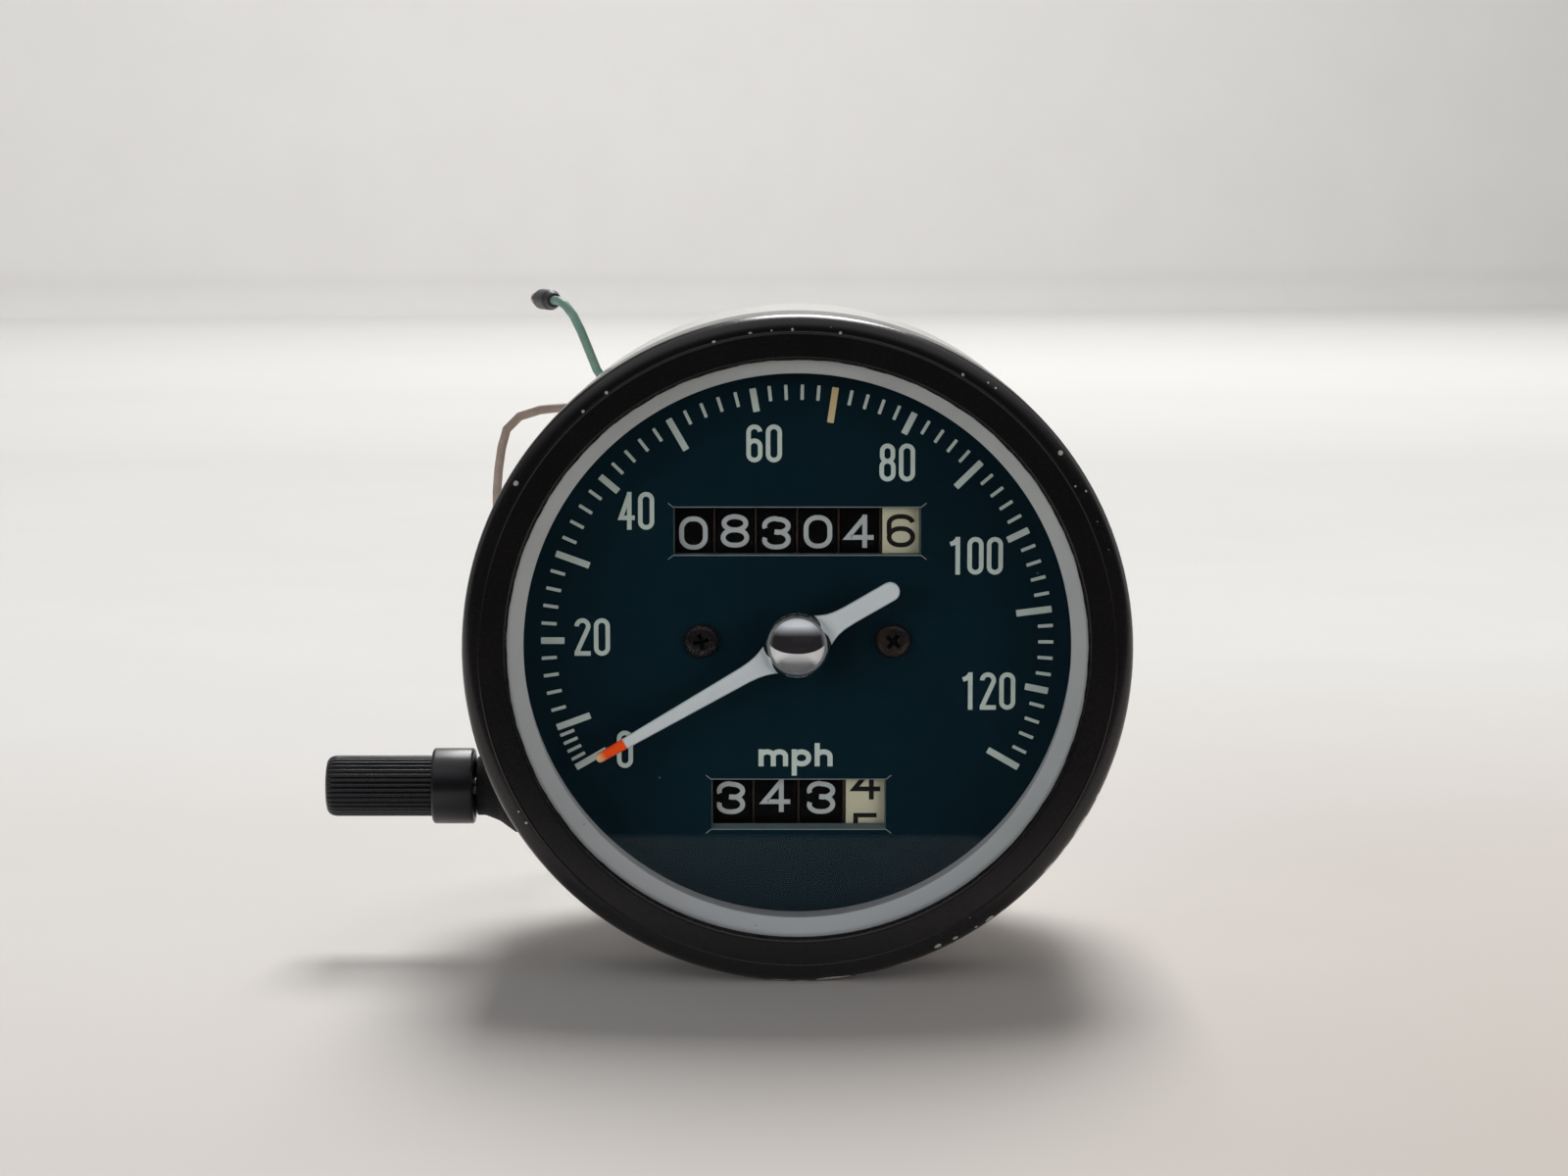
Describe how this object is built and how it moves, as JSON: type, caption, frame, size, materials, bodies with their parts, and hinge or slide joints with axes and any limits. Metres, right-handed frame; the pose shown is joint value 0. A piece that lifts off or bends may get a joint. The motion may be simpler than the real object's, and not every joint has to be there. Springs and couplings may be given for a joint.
{
  "type": "speedometer",
  "caption": "Round motorcycle speedometer: crimped bezel over a flat glass and dial, bright rear can, side reset knob, rear cable union, studs and lamp leads.",
  "frame": {"origin": "on the instrument's axis, in the middle of the cable union's thread at the rear", "axes": "-Y out of the dial towards the reader, +Y out of the rear along the union, +Z towards the mile counter, +X away from the reset knob"},
  "size_m": [0.1108, 0.1018, 0.0902],
  "materials": {
    "bezel_paint": "satin",
    "dial_paint": "satin",
    "white_ring": "matte",
    "clear_glass": "gloss",
    "black_rubber": "matte",
    "needle_white": "satin",
    "cap_chrome": "gloss",
    "can_chrome": "gloss",
    "case_paint": "satin",
    "black_screw": "satin",
    "bright_steel": "satin",
    "zinc_steel": "satin",
    "cast_alloy": "matte",
    "cup_alloy": "satin",
    "magnet_grey": "matte",
    "spring_bronze": "gloss",
    "bush_brass": "satin",
    "gear_nylon": "satin",
    "wheel_black": "matte",
    "wheel_cream": "matte",
    "carrier_fibre": "matte",
    "knob_black": "satin",
    "dark_screw": "satin",
    "socket_black": "matte",
    "green_pvc": "satin",
    "brown_pvc": "satin",
    "sleeve_black": "satin"
  },
  "bodies": {
    "root": {"bezel": "bezel_paint", "dial_plate": "dial_paint", "reflector_ring": "white_ring", "glass": "clear_glass", "lamp_bulb": "clear_glass", "glass_seal": "black_rubber", "case_gasket": "black_rubber", "stud_cushions": "black_rubber", "reset_boot": "black_rubber", "outer_can": "can_chrome", "inner_case": "case_paint", "dial_screws": "black_screw", "bridge_screws": "bright_steel", "frame_screws": "bright_steel", "base_screws": "bright_steel", "transfer_pin": "bright_steel", "odometer_shaft": "bright_steel", "mounting_studs": "zinc_steel", "stud_washers": "zinc_steel", "stud_nuts": "zinc_steel", "cable_union": "zinc_steel", "reset_tube": "zinc_steel", "movement_frame": "cast_alloy", "base_casting": "cast_alloy", "hairspring": "spring_bronze", "hairspring_stud": "spring_bronze", "spindle_bushes": "bush_brass", "needle_bridge": "bush_brass", "odometer_carriers": "carrier_fibre", "trip_carriers": "carrier_fibre", "lamp_socket": "socket_black", "lead_green": "green_pvc", "lead_brown": "brown_pvc", "bullet_green": "sleeve_black", "bullet_brown": "sleeve_black"},
    "pointer": {"needle": "needle_white", "hub_cap": "cap_chrome", "needle_spindle": "bright_steel", "speed_cup": "cup_alloy"},
    "input": {"input_spindle": "bright_steel", "drag_magnet": "magnet_grey"},
    "cross": {"cross_shaft": "gear_nylon"},
    "upright": {"upright_shaft": "gear_nylon"},
    "transfer": {"transfer_gear": "gear_nylon"},
    "odometer_1": {"odometer_wheel_1": "wheel_black"},
    "odometer_2": {"odometer_wheel_2": "wheel_black"},
    "odometer_3": {"odometer_wheel_3": "wheel_black"},
    "odometer_4": {"odometer_wheel_4": "wheel_black"},
    "odometer_5": {"odometer_wheel_5": "wheel_black"},
    "odometer_6": {"odometer_wheel_6": "wheel_cream"},
    "odometer_carry": {"odometer_pinions": "gear_nylon"},
    "trip_1": {"trip_wheel_1": "wheel_black"},
    "trip_2": {"trip_wheel_2": "wheel_black"},
    "trip_3": {"trip_wheel_3": "wheel_black"},
    "trip_4": {"trip_wheel_4": "wheel_cream"},
    "trip_carry": {"trip_pinions": "gear_nylon"},
    "reset": {"trip_shaft": "bright_steel", "reset_knob": "knob_black", "knob_screw": "dark_screw"}
  },
  "joints": [
    {"name": "pointer_sweep", "type": "hinge", "parent": "root", "child": "pointer", "pos_m": [0, -0.06101, 0], "axis": [0, 1, 0], "range_deg": [0, 240], "stiffness_Nm_per_rad": 0.00005, "springref_deg": -34.38, "deforming": ["hairspring"]},
    {"name": "input_spin", "type": "hinge", "parent": "root", "child": "input", "pos_m": [0, -0.01101, 0], "axis": [0, 1, 0], "continuous": true},
    {"name": "cross_spin", "type": "hinge", "parent": "root", "child": "cross", "pos_m": [0.0065, -0.02001, 0], "axis": [0, 0, 1], "continuous": true},
    {"name": "upright_spin", "type": "hinge", "parent": "root", "child": "upright", "pos_m": [0.01901, -0.02001, 0.02512], "axis": [0, 1, 0], "continuous": true},
    {"name": "transfer_spin", "type": "hinge", "parent": "root", "child": "transfer", "pos_m": [0.01901, -0.04911, -0.0035], "axis": [-1, 0, 0], "continuous": true},
    {"name": "odometer_6_spin", "type": "hinge", "parent": "root", "child": "odometer_6", "pos_m": [0, -0.04911, 0.015], "axis": [-1, 0, 0], "continuous": true},
    {"name": "odometer_5_spin", "type": "hinge", "parent": "root", "child": "odometer_5", "pos_m": [0, -0.04911, 0.015], "axis": [-1, 0, 0], "continuous": true},
    {"name": "odometer_4_spin", "type": "hinge", "parent": "root", "child": "odometer_4", "pos_m": [0, -0.04911, 0.015], "axis": [-1, 0, 0], "continuous": true},
    {"name": "odometer_3_spin", "type": "hinge", "parent": "root", "child": "odometer_3", "pos_m": [0, -0.04911, 0.015], "axis": [-1, 0, 0], "continuous": true},
    {"name": "odometer_2_spin", "type": "hinge", "parent": "root", "child": "odometer_2", "pos_m": [0, -0.04911, 0.015], "axis": [-1, 0, 0], "continuous": true},
    {"name": "odometer_1_spin", "type": "hinge", "parent": "root", "child": "odometer_1", "pos_m": [0, -0.04911, 0.015], "axis": [-1, 0, 0], "continuous": true},
    {"name": "odometer_carry_spin", "type": "hinge", "parent": "root", "child": "odometer_carry", "pos_m": [0, -0.04296, 0.015], "axis": [-1, 0, 0], "continuous": true},
    {"name": "trip_4_spin", "type": "hinge", "parent": "root", "child": "trip_4", "pos_m": [0, -0.04911, -0.022], "axis": [-1, 0, 0], "continuous": true},
    {"name": "trip_3_spin", "type": "hinge", "parent": "root", "child": "trip_3", "pos_m": [0, -0.04911, -0.022], "axis": [-1, 0, 0], "continuous": true},
    {"name": "trip_2_spin", "type": "hinge", "parent": "root", "child": "trip_2", "pos_m": [0, -0.04911, -0.022], "axis": [-1, 0, 0], "continuous": true},
    {"name": "trip_1_spin", "type": "hinge", "parent": "root", "child": "trip_1", "pos_m": [0, -0.04911, -0.022], "axis": [-1, 0, 0], "continuous": true},
    {"name": "trip_carry_spin", "type": "hinge", "parent": "root", "child": "trip_carry", "pos_m": [0, -0.04296, -0.022], "axis": [-1, 0, 0], "continuous": true},
    {"name": "reset_knob_spin", "type": "hinge", "parent": "root", "child": "reset", "pos_m": [-0.055, -0.04911, -0.022], "axis": [1, 0, 0], "continuous": true}
  ],
  "couplings": [
    {"joint": "cross_spin", "follows": "input_spin", "ratio": 0.05},
    {"joint": "upright_spin", "follows": "input_spin", "ratio": 0.0017857},
    {"joint": "transfer_spin", "follows": "input_spin", "ratio": -0.00033482},
    {"joint": "odometer_6_spin", "follows": "input_spin", "ratio": 0.00044643},
    {"joint": "odometer_5_spin", "follows": "input_spin", "ratio": 0.000044643},
    {"joint": "odometer_4_spin", "follows": "input_spin", "ratio": 0.0000044643},
    {"joint": "odometer_3_spin", "follows": "input_spin", "ratio": 0.00000044643},
    {"joint": "odometer_2_spin", "follows": "input_spin", "ratio": 0.000000044643},
    {"joint": "odometer_1_spin", "follows": "input_spin", "ratio": 0.0000000044643},
    {"joint": "odometer_carry_spin", "follows": "input_spin", "ratio": 0.00011161},
    {"joint": "trip_4_spin", "follows": "input_spin", "ratio": 0.00044643},
    {"joint": "trip_3_spin", "follows": "input_spin", "ratio": 0.000044643},
    {"joint": "trip_2_spin", "follows": "input_spin", "ratio": 0.0000044643},
    {"joint": "trip_1_spin", "follows": "input_spin", "ratio": 0.00000044643},
    {"joint": "trip_carry_spin", "follows": "input_spin", "ratio": 0.00011161}
  ]
}
